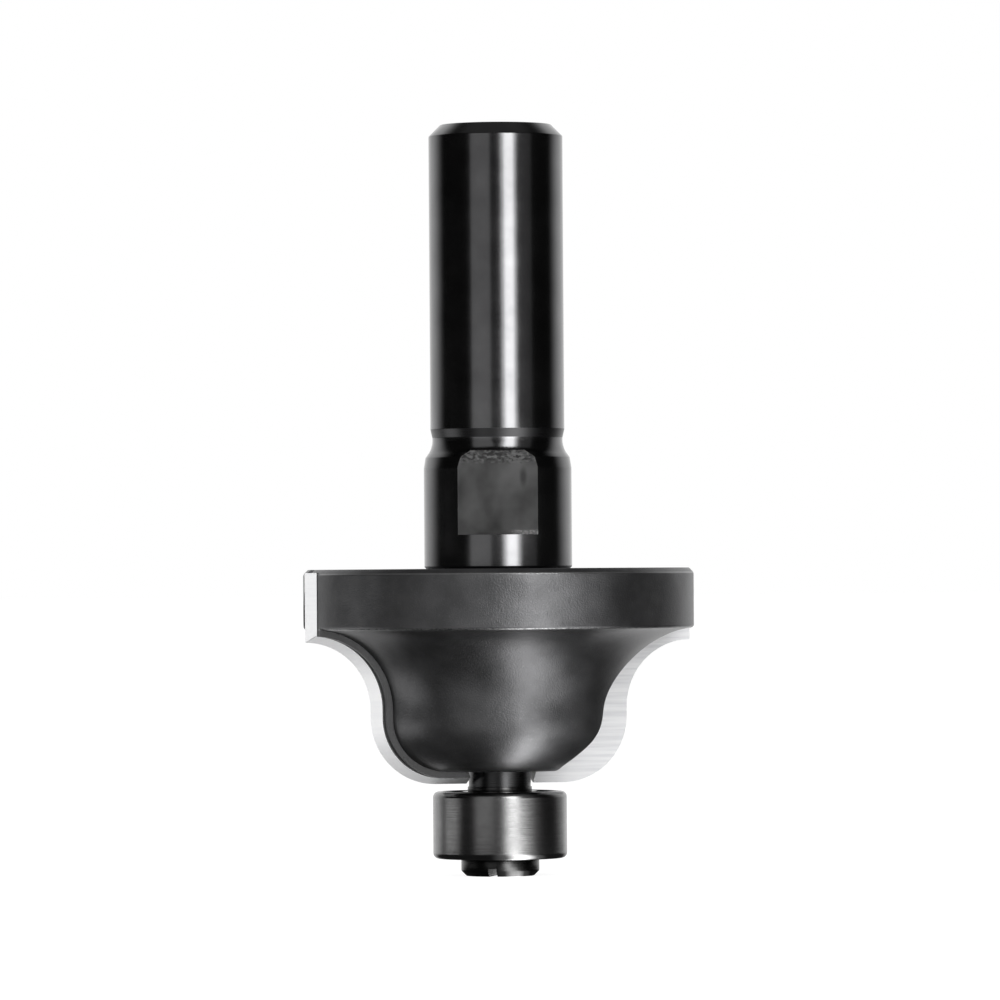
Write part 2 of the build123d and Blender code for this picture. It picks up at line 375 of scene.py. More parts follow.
# %% [markdown]
# A land is a slice of another ogee form, 0.6 mm prouder than the bell. The form is turned
# whole and only the slice is set at the tip's angle, so its ring of faces lies on the same
# steps as the bell's. The slice starts halfway into the place of the tip, so that milling
# the tip's seat also gives the land its front face.

# %% Lands
land_reach = disc_radius - fit / 2
land_top = head_top - 2 * disc_top_chamfer
land_back = tip_thickness + land_thickness
for angle in tip_angles:
    land = spin_outline(ogee_section(land_setback, land_reach, [
        (spindle_bore + fit, land_top),
        (spindle_bore + fit, profile_foot + land_setback),
    ]))
    slab = block((spindle_bore + fit, tip_thickness / 2, profile_foot),
                 (cutting_radius, land_back, head_top))
    land = carve(land, turn_mesh(slab, angle), "INTERSECT")
    head_mesh = carve(head_mesh, land, "UNION")
print(f"lands stand {(body_setback - land_setback) / MM:.2f} mm proud of the bell")

# %% [markdown]
# A gullet is milled with an upright wall that runs out in a long arc to a narrow throat in
# the disc. The wall's outline is one vertex swept about the arc's centre, closed to a face
# and extruded along the tip. A second block with a leaning floor says how deep it goes, and
# the intersection of the two is the milling cutter. It is used further down, after the
# seats: floor and seat both end at the tip's back edge, so the seat is made a hair deeper
# and milled first.

# %% Gullet sizes
gullet_width = 8.9 * MM
gullet_throat = 1.8 * MM
gullet_throat_depth = 0.67 * MM
gullet_runout = 15.5 * MM
gullet_corner_radius = 1.5 * MM
tip_foot_distance = 3.3 * MM
back_lean = math.radians(17.0)
spare = 1.0 * MM
gullet_low = profile_foot - spare
gullet_high = head_top + spare
throat_foot = head_top - disc_top_chamfer - gullet_throat_depth
runout_width = gullet_width - gullet_throat
runout_radius = (runout_width**2 + gullet_runout**2) / (2 * runout_width)
runout_angle = math.asin(gullet_runout / runout_radius)
RUNOUT_STEPS = 24
print(f"gullet wall runs out on a radius of {runout_radius / MM:.1f} mm")


def back_edge(height):
    """Distance from the axis to the leaning back edge of a tip, and to the gullet's floor."""
    return tip_foot_distance + (height - profile_foot) * math.tan(back_lean)


# %% Shape the gullet's cutter
def gullet_sweep():
    """The gullet's section, drawn across the tip and drawn out along it."""
    mesh = bmesh.new()
    wall_top = mesh.verts.new((0, -gullet_width, throat_foot - gullet_runout))
    bmesh.ops.spin(
        mesh, geom=[wall_top], cent=(0, runout_radius - gullet_width, wall_top.co.z),
        axis=(1, 0, 0), angle=-runout_angle, steps=RUNOUT_STEPS)
    low_end = min(mesh.verts, key=lambda vert: vert.co.z)
    high_end = max(mesh.verts, key=lambda vert: vert.co.z)
    square_corners = [(0, -gullet_throat, gullet_high), (0, 0, gullet_high),
                      (0, 0, gullet_low), (0, -gullet_width, gullet_low)]
    chain = [high_end] + [mesh.verts.new(place) for place in square_corners] + [low_end]
    for first, second in zip(chain, chain[1:]):
        mesh.edges.new((first, second))
    face = bmesh.ops.contextual_create(mesh, geom=mesh.edges[:])["faces"]
    grown = bmesh.ops.extrude_face_region(mesh, geom=face)["geom"]
    moved = [item for item in grown if isinstance(item, bmesh.types.BMVert)]
    bmesh.ops.translate(mesh, vec=(cutting_radius + spare, 0, 0), verts=moved)
    bmesh.ops.recalc_face_normals(mesh, faces=mesh.faces[:])
    return mesh


def gullet_depth():
    """A block whose inner side leans back like the tip, rounded at its far corner."""
    mesh = block((0, -gullet_width, gullet_low), (cutting_radius + spare, spare, gullet_high))
    for vert in mesh.verts:
        if vert.co.x < spare:
            vert.co.x = back_edge(vert.co.z)
    far_floor = [edge for edge in mesh.edges if all(
        vert.co.y < -spare and vert.co.x < cutting_radius for vert in edge.verts)]
    bmesh.ops.bevel(
        mesh, geom=far_floor, offset=gullet_corner_radius, offset_type="OFFSET", segments=8,
        profile=0.5, affect="EDGES", material=-1)
    return mesh


# %% [markdown]
# ## Carbide tips
#
# A tip is a flat plate ground to the ogee with relief behind its cutting edges. Its rake face
# is drawn and filled, a copy of the face is inset by the relief and pushed back by the
# plate's thickness, and merging the two closes the plate. The sheet starts oversize at its
# top and back, where planes then cut it off square, so only cutting edges keep relief. The
# same plate without relief is the milled seat in the head. It reaches forward into the
# gullet and a hair past the tip's back edge.

# %% Tip helpers
relief_angle = math.radians(17.0)
relief = tip_thickness * math.tan(relief_angle)


def tip_plate(side_relief, front=0.0, clearance=0.0):
    """A tip along the XZ plane, from y = -front to its thickness, its back a clearance deeper."""
    oversize = tip_top + spare
    mesh = outline([(tip_foot_distance - spare, profile_foot)] + ogee_corners(0) + [
        (cutting_radius, oversize), (back_edge(oversize) - spare, oversize)])
    round_ogee(mesh, 0)
    rake = bmesh.ops.contextual_create(mesh, geom=mesh.edges[:])["faces"]
    copied = bmesh.ops.duplicate(mesh, geom=rake)["geom"]
    back = [item for item in copied if isinstance(item, bmesh.types.BMFace)]
    bmesh.ops.inset_region(mesh, faces=back, thickness=max(side_relief, fit / 2),
                           use_even_offset=True, use_boundary=True)
    bmesh.ops.translate(mesh, vec=(0, tip_thickness + front, 0), verts=back[0].verts[:])
    bmesh.ops.remove_doubles(mesh, verts=mesh.verts[:], dist=MERGE_DISTANCE)
    bmesh.ops.translate(mesh, vec=(0, -front, 0), verts=mesh.verts[:])
    trims = [
        ((0, 0, tip_top), (0, 0, 1)),
        ((tip_foot_distance - clearance, 0, profile_foot),
         (-math.cos(back_lean), 0, math.sin(back_lean))),
    ]
    for place, outwards in trims:
        bmesh.ops.bisect_plane(
            mesh, geom=mesh.verts[:] + mesh.edges[:] + mesh.faces[:],
            plane_co=place, plane_no=outwards, clear_outer=True)
        rim = [edge for edge in mesh.edges if edge.is_boundary]
        bmesh.ops.contextual_create(mesh, geom=rim)
    bmesh.ops.recalc_face_normals(mesh, faces=mesh.faces[:])
    return mesh


# %% Mill seats and gullets, braze in the tips
for name, angle in zip(("right", "left"), tip_angles):
    seat = turn_mesh(tip_plate(0, front=spare / 2, clearance=fit / 2), angle)
    head_mesh = carve(head_mesh, seat)
    gullet = carve(gullet_sweep(), gullet_depth(), "INTERSECT")
    head_mesh = carve(head_mesh, turn_mesh(gullet, angle))
    tip = turn_mesh(tip_plate(relief), angle)
    make_piece(f"ground_tip_{name}", tip, "bit", f"carbide_tip_{name}")
head = make_piece("blasted_head", head_mesh, "bit", "cutter_head")

# %% [markdown]
# ## Pilot: spacer, ring and screw
#
# The outer ring is the only one of these that rolls along the work. Its corners are rounded
# like any bearing's, and inside it has a ledge for the shield at both ends. Balls, cage,
# shields and snap rings keep their solids, so bore and ledges leave room for them.

# %% Outer ring
bearing_bore_radius = journal_radius + fit / 2
pitch_radius = (bearing_bore_radius + bearing_radius) / 2
race_wall_gap = 0.8 * MM
shield_seat_width = 0.35 * MM
shield_recess_depth = 0.6 * MM
ring_corner_radius = 0.55 * MM
ring_bore = pitch_radius + race_wall_gap
shield_seat = ring_bore + shield_seat_width
ring_mesh = outline([
    (bearing_radius, ring_low.z),
    (bearing_radius, ring_high.z),
    (shield_seat, ring_high.z),
    (shield_seat, ring_high.z - shield_recess_depth),
    (ring_bore, ring_high.z - shield_recess_depth),
    (ring_bore, ring_low.z + shield_recess_depth),
    (shield_seat, ring_low.z + shield_recess_depth),
    (shield_seat, ring_low.z),
])
for height in (ring_low.z, ring_high.z):
    round_corner(ring_mesh, bearing_radius, height, ring_corner_radius, segments=10)
    round_corner(ring_mesh, shield_seat, height, broken_edge)
spin_outline(ring_mesh)
make_piece("guide_ring", ring_mesh, "outer_ring", "bearing_outer_ring")

# %% [markdown]
# The spacer is a thin turned ring between the neck and the bearing. The screw is a small
# cheese head with a slot across its face, which a thin block cuts. Its thread runs inside
# the arbor, where nobody sees it, so it is a plain stem.

# %% Spacer
spacer_mesh = outline([
    (bearing_bore_radius, spacer_low.z),
    (spacer_high.x, spacer_low.z),
    (spacer_high.x, spacer_high.z),
    (bearing_bore_radius, spacer_high.z),
])
for height in (spacer_low.z, spacer_high.z):
    round_corner(spacer_mesh, spacer_high.x, height, broken_edge)
spin_outline(spacer_mesh)
make_piece("spacer_ring", spacer_mesh, "bit", "spacer_washer")

# %% Pilot screw
screw_head_top = ring_low.z
screw_head_radius = screw_high.x
screw_head_chamfer = 0.5 * MM
screw_chamfer_top = screw_low.z + screw_head_chamfer
thread_radius = 1.5 * MM
slot_width = 0.8 * MM
slot_depth = 0.75 * MM
slot_angle = 78.0
screw_mesh = outline([
    (0, screw_low.z),
    (screw_head_radius - screw_head_chamfer, screw_low.z),
    (screw_head_radius, screw_chamfer_top),
    (screw_head_radius, screw_head_top),
    (thread_radius, screw_head_top),
    (thread_radius, screw_high.z),
    (0, screw_high.z),
], closed=False)
for corner_radius, corner_height in (
        (screw_head_radius - screw_head_chamfer, screw_low.z),
        (screw_head_radius, screw_chamfer_top),
        (screw_head_radius, screw_head_top)):
    round_corner(screw_mesh, corner_radius, corner_height, broken_edge)
spin_outline(screw_mesh)
slot_mesh = block((-2 * screw_head_radius, -slot_width / 2, screw_low.z - slot_depth),
                  (2 * screw_head_radius, slot_width / 2, screw_low.z + slot_depth))
screw_mesh = carve(screw_mesh, turn_mesh(slot_mesh, slot_angle))
make_piece("slotted_screw", screw_mesh, "bit", "pilot_screw")

# %% [markdown]
# ## Writing shader maths
#
# A finish is a tree of nodes. Wiring sums and products by hand hides what they mean, so one
# small class wraps a socket and lets Python's own signs add the Math nodes. Numbers alone
# stay plain Python.

# %% Socket class
class Value:
    """What changes over a surface: an output socket with arithmetic."""

    def __init__(self, nodes, socket):
        self.nodes = nodes
        self.socket = socket

    def __add__(self, other):
        return self.nodes.maths("ADD", self, other)

    __radd__ = __add__

    def __sub__(self, other):
        return self.nodes.maths("SUBTRACT", self, other)

    def __rsub__(self, other):
        return self.nodes.maths("SUBTRACT", other, self)

    def __mul__(self, other):
        return self.nodes.maths("MULTIPLY", self, other)

    __rmul__ = __mul__


# %% [markdown]
# Every other node comes from one method, which makes a node's settings first, because they
# decide which sockets it has. The methods below it are the few patterns that the finishes
# and the stage share.

# %% Node tree class
class NodeTree:
    """A tree of nodes, each made from its type, its settings and its sockets."""

    def __init__(self, tree):
        self.tree = tree

    def node(self, kind, settings, sockets, output=0):
        """Adds a node and returns one of its outputs, if it has any."""
        made = self.tree.nodes.new(kind)
        for name, value in settings.items():
            if name == "stops":
                self.set_stops(made.color_ramp, value)
            else:
                setattr(made, name, value)
        for key, value in sockets.items():
            self.plug(made.inputs[key], value)
        return Value(self, made.outputs[output]) if made.outputs else None

    def set_stops(self, ramp, stops):
        """Gives a colour ramp its (position, grey) stops."""
        while len(ramp.elements) < len(stops):
            ramp.elements.new(1.0)
        for element, (position, tone) in zip(ramp.elements, stops):
            element.position = position
            element.color = (tone, tone, tone, 1)

    def plug(self, socket, value):
        """Links a value or sets a number."""
        if isinstance(value, Value):
            self.tree.links.new(value.socket, socket)
        else:
            socket.default_value = value

    def maths(self, operation, *values):
        """A Math node on one to three values or numbers."""
        return self.node("ShaderNodeMath", {"operation": operation}, dict(enumerate(values)))

    def near(self, value, place, reach):
        """1 where a value is within reach of a place, else 0."""
        return self.maths("COMPARE", value, place, reach)

    def part(self, vector, axis):
        """One coordinate of a vector."""
        return self.node("ShaderNodeSeparateXYZ", {}, {"Vector": vector}, output=axis)

    def length(self, vector):
        """How long a vector is."""
        return self.node(
            "ShaderNodeVectorMath", {"operation": "LENGTH"}, {0: vector}, output="Value")

    def ramp(self, value, *stops):
        """A grey read off a ramp with (position, grey) stops."""
        return self.node("ShaderNodeValToRGB", {"stops": stops}, {"Fac": value})

    def step(self, value, low, high, bottom=0.0, top=1.0):
        """A smooth rise from bottom to top between low and high. Swapped limits make it fall."""
        return self.node("ShaderNodeMapRange", {"interpolation_type": "SMOOTHSTEP"}, {
            "Value": value, "From Min": low, "From Max": high, "To Min": bottom, "To Max": top})

    def blend(self, factor, first, second, kind="RGBA"):
        """Goes from the first colour to the second, or with kind="FLOAT" from number to number."""
        return self.node("ShaderNodeMix", {"data_type": kind}, {
            "Factor": factor, "A": first, "B": second}, output="Result")

    def layers(self, colour, *coats):
        """Lays (mask, colour) coats over a colour, one after another."""
        for mask, coat in coats:
            colour = self.blend(mask, colour, coat)
        return colour


def grey(tone, blue=0.0):
    """A grey colour, with a little extra blue where steel looks cold."""
    return (tone, tone, tone + blue, 1)


# %% [markdown]
# A finish is such a tree round one Principled shader. Its patterns read Object coordinates,
# so they stay on the piece when it turns, and these are scaled to millimetres. Every length
# inside a finish is therefore in millimetres too, except the depth of a bump.

# %% Finish class
class Finish(NodeTree):
    """A material around one Principled shader."""

    def __init__(self, name, metallic=0.0):
        self.material = bpy.data.materials.new(name)
        self.material.use_nodes = True
        super().__init__(self.material.node_tree)
        self.shader = self.tree.nodes["Principled BSDF"]
        self.shader.inputs["Metallic"].default_value = metallic

    def feed(self, socket, value):
        """Feeds one of the shader's own sockets."""
        self.plug(self.shader.inputs[socket], value)

    def place(self, scale=(1, 1, 1), turn=(0, 0, 0)):
        """Object coordinates in millimetres, scaled and turned by degrees."""
        coordinates = self.node("ShaderNodeTexCoord", {}, {}, output="Object")
        return self.node("ShaderNodeMapping", {}, {
            "Vector": coordinates,
            "Rotation": [math.radians(angle) for angle in turn],
            "Scale": [number / MM for number in scale],
        })

    def noise(self, scale, detail=2.0, stretch=(1, 1, 1)):
        """Noise from 0 to 1 with about scale lumps to the millimetre."""
        return self.node("ShaderNodeTexNoise", {"normalize": True}, {
            "Vector": self.place(stretch), "Scale": scale, "Detail": detail})

    def bump(self, height, distance):
        """Relief of a height, with distance in metres."""
        return self.node(
            "ShaderNodeBump", {}, {"Height": height, "Distance": distance}, output="Normal")

    def cover(self, thing):
        """Gives the finish to an object as its only material."""
        thing.data.materials.clear()
        thing.data.materials.append(self.material)


# %% [markdown]
# ## Finishes
#
# The bit is nearly all dark metal, so its finishes differ by how they mirror the room, not by
# colour. The arbor is oiled black oxide over ground steel: a dark mirror with faint rings
# from grinding. Where that skin differs or is painted darker, a mask tells the place by its
# coordinates, so no seam or second slot is needed: the milled flats, the neck below the head,
# which is painted darker as shade, and the groove's run-out, whose cone mirrors another part
# of the room and which is painted darker as shade, so that it mirrors less.

# %% Where the arbor's skin differs or is painted darker as shade
FLAT_REACH = 0.02
RUNOUT_REACH = 0.03
NECK_TONE_RISE = 4.0
oxide = Finish("black_oxide", metallic=1.0)
across = oxide.part(oxide.place(), "X")
depth = oxide.maths("ABSOLUTE", oxide.part(oxide.place(), "Y"))
height = oxide.part(oxide.place(), "Z")
flat_half_width = math.sqrt(collar_radius**2 - flat_distance**2)
on_flat = (
    oxide.near(depth, flat_distance / MM, FLAT_REACH)
    * oxide.near(height, (flat_foot + flat_length / 2) / MM, flat_length / 2 / MM + FLAT_REACH)
    * oxide.maths("LESS_THAN", oxide.maths("ABSOLUTE", across), flat_half_width / MM))
# Painted shade: the neck is coloured darker than the rest of the oxide.
neck_shade = oxide.maths("LESS_THAN", height, profile_foot / MM + NECK_TONE_RISE)
# Painted shade: the run-out is coloured darker, so its cone mirrors less of the room.
runout_shade = oxide.near(
    height, (groove_top - groove_runout / 2) / MM, groove_runout / 2 / MM + RUNOUT_REACH)
print(f"each flat is {2 * flat_half_width / MM:.2f} mm wide")

# %% [markdown]
# The flats were milled after the turning and are greyer and rougher. Oil has left them in
# slow dark and light smears. The end mill chattered as it ran out at the top, which leaves a
# band of bright and dark specks there. A light line at one end of the foot is a painted
# highlight on the edge there. A scuff has rubbed in a small dark mark. Each is one coat over
# the tone below it.

# %% Milled flats
CHATTER_STARTS = 1.5
CHATTER_FULL = 0.7
FOOT_HIGHLIGHT_TOP = 0.55
FOOT_HIGHLIGHT_FULL = 0.3
FOOT_HIGHLIGHT_ACROSS = (0.9, 1.8)
MARK_PLACE = (2.398, 0.0, flat_foot / MM + 5.432)
MARK_STRETCH = (2.2, 0.0, 0.9)
MARK_TURN = -14
MARK_EDGE = 1.1
MARK_CORE = 0.2
smear = oxide.noise(0.32, detail=2.5, stretch=(1.0, 1.0, 0.8))
chatter = oxide.noise(3.4, detail=3.0, stretch=(0.7, 1.0, 1.2))
fine = oxide.noise(9.0, detail=2.0)
flat_top = (flat_foot + flat_length) / MM
near_top = oxide.step(height, flat_top - CHATTER_STARTS, flat_top - CHATTER_FULL)
near_foot = oxide.step(height, flat_foot / MM + FOOT_HIGHLIGHT_TOP, flat_foot / MM + FOOT_HIGHLIGHT_FULL)
# Painted highlight: a light line along one end of the flats' foot.
foot_highlight = near_foot * oxide.step(across, *FOOT_HIGHLIGHT_ACROSS)
stretched_mark = Vector([place * by for place, by in zip(MARK_PLACE, MARK_STRETCH)])
mark_centre = Matrix.Rotation(math.radians(MARK_TURN), 3, "Y") @ stretched_mark
from_mark = oxide.node("ShaderNodeVectorMath", {"operation": "DISTANCE"}, {
    0: oxide.place(MARK_STRETCH, turn=(0, MARK_TURN, 0)), 1: mark_centre}, output="Value")
milled_tone = oxide.layers(
    oxide.ramp(smear, (0.32, 0.035), (0.5, 0.062), (0.7, 0.09)),
    (near_top * oxide.step(chatter, 0.52, 0.62), grey(0.11)),
    (near_top * oxide.step(chatter, 0.46, 0.40), grey(0.03)),
    # painted highlight along the foot
    (foot_highlight * oxide.step(fine, 0.46, 0.60), grey(0.24)),
    (oxide.step(from_mark, MARK_EDGE, MARK_CORE) * 0.6, grey(0.015)))
print(f"mark at {MARK_PLACE[2]:.2f} mm, chatter from {flat_top - CHATTER_STARTS:.2f} mm up")

# %% Black oxide
cloud = oxide.noise(0.35, detail=3.0)
rings = oxide.noise(0.6, detail=3.0, stretch=(0.05, 0.05, 14))
oiled_tone = oxide.blend(
    oxide.ramp(cloud, (0.3, 0), (0.75, 1)), grey(0.125, blue=0.003), grey(0.16, blue=0.003))
oxide.feed("Base Color", oxide.layers(
    oiled_tone,
    # painted shade on the neck
    (neck_shade, grey(0.05, blue=0.001)),
    # painted shade on the run-out
    (runout_shade * 0.85, grey(0.04, blue=0.001)),
    (on_flat, milled_tone)))
oxide.feed("Roughness", 0.11 + cloud * 0.06 + rings * 0.05 + on_flat * 0.30
           + neck_shade * 0.1 + runout_shade * 0.12)
milling = on_flat * (smear * 3.0 + near_top * chatter * 4.0)
oxide.feed("Normal", oxide.bump(rings * 0.25 + fine * 0.1 + milling, 0.004 * MM))
oxide.cover(arbor)

# %% [markdown]
# The head is grit-blasted before blackening. That leaves pits of a few hundredths of a
# millimetre, so it scatters where the arbor mirrors: the same dark metal with a higher
# roughness, a fine bump and a speckle of painted glints, bright specks in the colour that
# stand in for the sparkle of the pits. Handling has rubbed it unevenly, which a slow cloud in
# colour and roughness tells. The disc's two edges touch everything first, so they are worn
# bright, the upper one evenly and the lower one in broken spots, and that brighter tone is
# also a painted highlight along the edges. The low step at the back of each land is painted
# near black as the shade it lies in.

# %% Worn edges of the disc, brightened partly as a painted highlight
RIM_STARTS = 0.40
RIM_FULL = 0.25
UPPER_EDGE_REACH = 0.07
LOWER_EDGE_ABOVE = 0.04
LOWER_EDGE_REACH = 0.10
blasted = Finish("blasted_oxide", metallic=0.85)
grit = blasted.noise(7.0, detail=2.0)
disc_height = blasted.part(blasted.place(), "Z")
from_axis = blasted.length(blasted.place(scale=(1, 1, 0)))
on_rim = blasted.step(from_axis, disc_radius / MM - RIM_STARTS, disc_radius / MM - RIM_FULL)
upper_edge = blasted.near(disc_height, (head_top - disc_top_chamfer) / MM, UPPER_EDGE_REACH)
lower_edge = blasted.near(disc_height, disc_foot / MM + LOWER_EDGE_ABOVE, LOWER_EDGE_REACH)
# The edges are brighter metal: partly real wear, partly a painted highlight along the disc.
wear_and_highlight = on_rim * (upper_edge * 0.7 + lower_edge * blasted.step(grit, 0.40, 0.60))
print(f"worn edges at {disc_foot / MM:.2f} and {(head_top - disc_top_chamfer) / MM:.2f} mm")

# %% Blasted steel
FACE_REACH = 0.01
rake_turn = math.radians(tip_angles[0])
across_tips = (-math.sin(rake_turn), math.cos(rake_turn), 0)


def from_rake(finish):
    """Distance from the plane of both rake faces, in millimetres and without a sign."""
    signed = finish.node("ShaderNodeVectorMath", {"operation": "DOT_PRODUCT"}, {
        0: finish.place(), 1: across_tips}, output="Value")
    return finish.maths("ABSOLUTE", signed)


# Painted shade: the low step at the back of each land is coloured near black.
land_step_shade = blasted.near(from_rake(blasted), land_back / MM, FACE_REACH)
patch = blasted.noise(0.28, detail=4.0)
# Painted glints: bright specks in the colour stand in for the sparkle of the pits.
painted_glint = blasted.ramp(blasted.noise(5.0, detail=0.0), (0.70, 0), (0.80, 1))
rubbed_tone = blasted.blend(
    blasted.ramp(patch, (0.35, 0), (0.7, 1)), grey(0.075, blue=0.002), grey(0.12, blue=0.003))
blasted.feed("Base Color", blasted.layers(
    rubbed_tone,
    # painted glints
    (painted_glint * 0.05, grey(0.4)),
    # worn edges, also a painted highlight
    (wear_and_highlight * 0.55, grey(0.42)),
    # painted shade on the step behind each land
    (land_step_shade * 0.85, grey(0.02))))
blasted.feed("Roughness", 0.30 + patch * 0.08 + grit * 0.04 - painted_glint * 0.03 - wear_and_highlight * 0.06)
blasted.feed("Normal", blasted.bump(grit + patch * 0.5, 0.020 * MM))
blasted.cover(head)

# %% [markdown]
# Carbide is a pale sintered metal, and each of its faces has had another treatment. The
# flank behind the cutting edge is ground last and is the palest. The rake face is lapped
# flat, a little greyer and smoother. The back is brazed against the land, and the strip of
# it that shows is black with flux. Masks tell the three apart by their distance from the
# rake plane, and the wheel's fine lines run across them all.

# %% Ground carbide
BACK_REACH = 0.005
carbide = Finish("ground_carbide")
lines = carbide.noise(1.0, detail=3.0, stretch=(0.12, 0.12, 3.2))
grain = carbide.noise(3.0, detail=2.0)
on_rake = carbide.near(from_rake(carbide), 0.0, FACE_REACH)
on_back = carbide.near(from_rake(carbide), tip_thickness / MM, BACK_REACH)
flank_tone = carbide.blend(
    carbide.ramp(lines, (0.3, 0), (0.62, 1)), (0.93, 0.933, 0.945, 1), (0.97, 0.971, 0.976, 1))
rake_tone = carbide.blend(
    carbide.ramp(lines, (0.32, 0), (0.64, 1)), (0.72, 0.724, 0.74, 1), (0.88, 0.882, 0.89, 1))
carbide.feed("Base Color", carbide.layers(
    flank_tone, (on_rake, rake_tone), (on_back, grey(0.03))))
carbide.feed("Metallic", 0.20 - on_rake * 0.14)
carbide.feed("Roughness", 0.42 + lines * 0.10 - on_rake * 0.04)
carbide.feed("Normal", carbide.bump(lines + grain * 0.15, 0.004 * MM))
for name in ("right", "left"):
    carbide.cover(bpy.data.objects[f"ground_tip_{name}"])

# %% [markdown]
# Bearing steel is through-hardened and centreless ground: brighter than the oxide, with
# short rings round the axis that fray the edges of a reflection. The screw is blackened and
# turned, and cage, shields and snap rings are pressed from rolled strip. One function makes
# all three, each with its own tones, roughness and depth of ring. The balls are lapped and
# have no lay at all.

# %% Bearing finishes
def ring_steel(name, dark, light, roughness, lay, depth):
    """Turned or ground steel with rings round the axis."""
    steel = Finish(name, metallic=1.0)
    ring_lay = steel.noise(0.8, detail=3.0, stretch=(0.3, 0.3, 7))
    stain = steel.noise(0.9, detail=3.0)
    steel.feed("Base Color", steel.blend(stain, grey(dark), grey(light)))
    steel.feed("Roughness", roughness + ring_lay * lay)
    steel.feed("Normal", steel.bump(ring_lay + stain * 0.4, depth))
    return steel


bearing_steel = ring_steel(
    "ground_bearing_steel", dark=0.16, light=0.24, roughness=0.16, lay=0.12, depth=0.006 * MM)
screw_steel = ring_steel(
    "turned_screw_steel", dark=0.03, light=0.09, roughness=0.20, lay=0.10, depth=0.010 * MM)
strip_steel = ring_steel(
    "pressed_strip_steel", dark=0.16, light=0.24, roughness=0.28, lay=0.10, depth=0.004 * MM)
bearing_steel.cover(bpy.data.objects["guide_ring"])
bearing_steel.cover(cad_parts["bearing_inner_ring"])
for name in ("slotted_screw", "spacer_ring"):
    screw_steel.cover(bpy.data.objects[name])
for side in ("upper", "lower"):
    for part in ("cage", "shield", "snap_ring"):
        strip_steel.cover(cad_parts[f"{part}_{side}"])

# %% Lapped balls
lapped = Finish("lapped_ball_steel", metallic=1.0)
haze = lapped.noise(2.0, detail=2.0)
lapped.feed("Base Color", lapped.blend(haze, grey(0.55, blue=0.01), grey(0.65, blue=0.01)))
lapped.feed("Roughness", 0.05 + haze * 0.06)
for name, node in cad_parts.items():
    if name.startswith("ball_"):
        lapped.cover(node)
print("finishes:", [material.name for material in bpy.data.materials])

# %% [markdown]
# ## Stage
#
# Dark mirrors show the room, so the room is most of the look. A white backdrop behind the bit
# draws the pale lines along both sides of the shank, a dark room in front keeps its middle
# black, and a faint ceiling lights what leans upwards. Only mirrors see this room. The camera
# sees plain white, and what scatters light gets an even soft fill, which a dark room would
# not give.

# %% World
DIM_ROOM = 0.012
BACKDROP = 1.0
BACKDROP_EDGE = (0.20, 0.74)
BACKDROP_TOP = (0.55, 0.85)
CEILING = 0.11
CEILING_EDGE = (0.75, 0.95)
SOFT_FILL = 0.45
WHITE = (1, 1, 1, 1)
world = bpy.data.worlds.new("studio")
bpy.context.scene.world = world
world.use_nodes = True
room = NodeTree(world.node_tree)
room.tree.nodes.clear()


def ray(nodes, kind):
    """1 for rays of one kind and 0 for the others."""
    return nodes.node("ShaderNodeLightPath", {}, {}, output=kind)


direction = room.node("ShaderNodeTexCoord", {}, {}, output="Generated")
backwards = room.part(direction, "Y")
upwards = room.part(direction, "Z")
backdrop = room.step(backwards, *BACKDROP_EDGE, bottom=DIM_ROOM, top=BACKDROP)
overhead = room.step(upwards, *BACKDROP_TOP, bottom=1.0, top=DIM_ROOM)
ceiling = room.step(upwards, *CEILING_EDGE, top=CEILING)
in_mirrors = backdrop * overhead + ceiling
unseen = room.blend(ray(room, "Is Glossy Ray"), SOFT_FILL, in_mirrors, kind="FLOAT")
seen = room.maths("MAXIMUM", ray(room, "Is Camera Ray"), ray(room, "Is Transmission Ray"))
strength = room.blend(seen, unseen, 1.0, kind="FLOAT")
glow = room.node("ShaderNodeBackground", {}, {"Color": WHITE, "Strength": strength})
room.node("ShaderNodeOutputWorld", {}, {"Surface": glow})
print(f"world: {len(room.tree.nodes)} nodes")

# %% [markdown]
# ## Floor
#
# The floor plays three parts. The camera sees a glowing white plane that is part plain
# diffuse, so that it keeps the bit's shadow. Scattered light sees a pale floor. Mirrors see
# light and dark strips round the bit, as card laid out on a table would give them, because
# every face that leans down mirrors the floor. The bead mirrors what lies nearest, the cove
# the next ring, and steeper faces what lies further out, so four zones follow each other,
# and each lists its brightness at degrees to the right of the camera.

# %% Floor patterns
MIRROR_PEAK = 6.0
BEAD_FLOOR = (
    (-180, 0.8), (-130, 0.8), (-105, 0.03), (-10, 0.03), (8, 0.5), (19, 6.0), (33, 6.0),
    (44, 0.6), (60, 0.03), (110, 0.03), (140, 0.8), (180, 0.8))
COVE_FLOOR = (
    (-180, 0.8), (-130, 0.8), (-105, 0.03), (-10, 0.03), (2, 0.3), (12, 2.0), (22, 3.4),
    (38, 3.4), (52, 1.3), (66, 0.3), (110, 0.03), (140, 0.8), (180, 0.8))
MIDDLE_FLOOR = (
    (-180, 1.0), (-126, 1.0), (-110, 0.2), (-100, 1.4), (-80, 1.4), (-66, 0.05), (-46, 0.08),
    (-36, 0.6), (-24, 0.7), (-14, 0.45), (-6, 0.25), (1, 0.3), (12, 2.1), (22, 3.5),
    (38, 3.3), (51, 1.2), (62, 0.3), (78, 0.04), (110, 0.04), (126, 0.4), (142, 1.0),
    (180, 1.0))
FAR_FLOOR = (
    (-180, 1.0), (-140, 0.8), (-108, 0.04), (-50, 0.03), (-44, 0.5), (-6, 0.4), (6, 0.3),
    (10, 3.0), (32, 3.0), (40, 0.2), (70, 0.04), (108, 0.04), (140, 0.8), (180, 1.0))
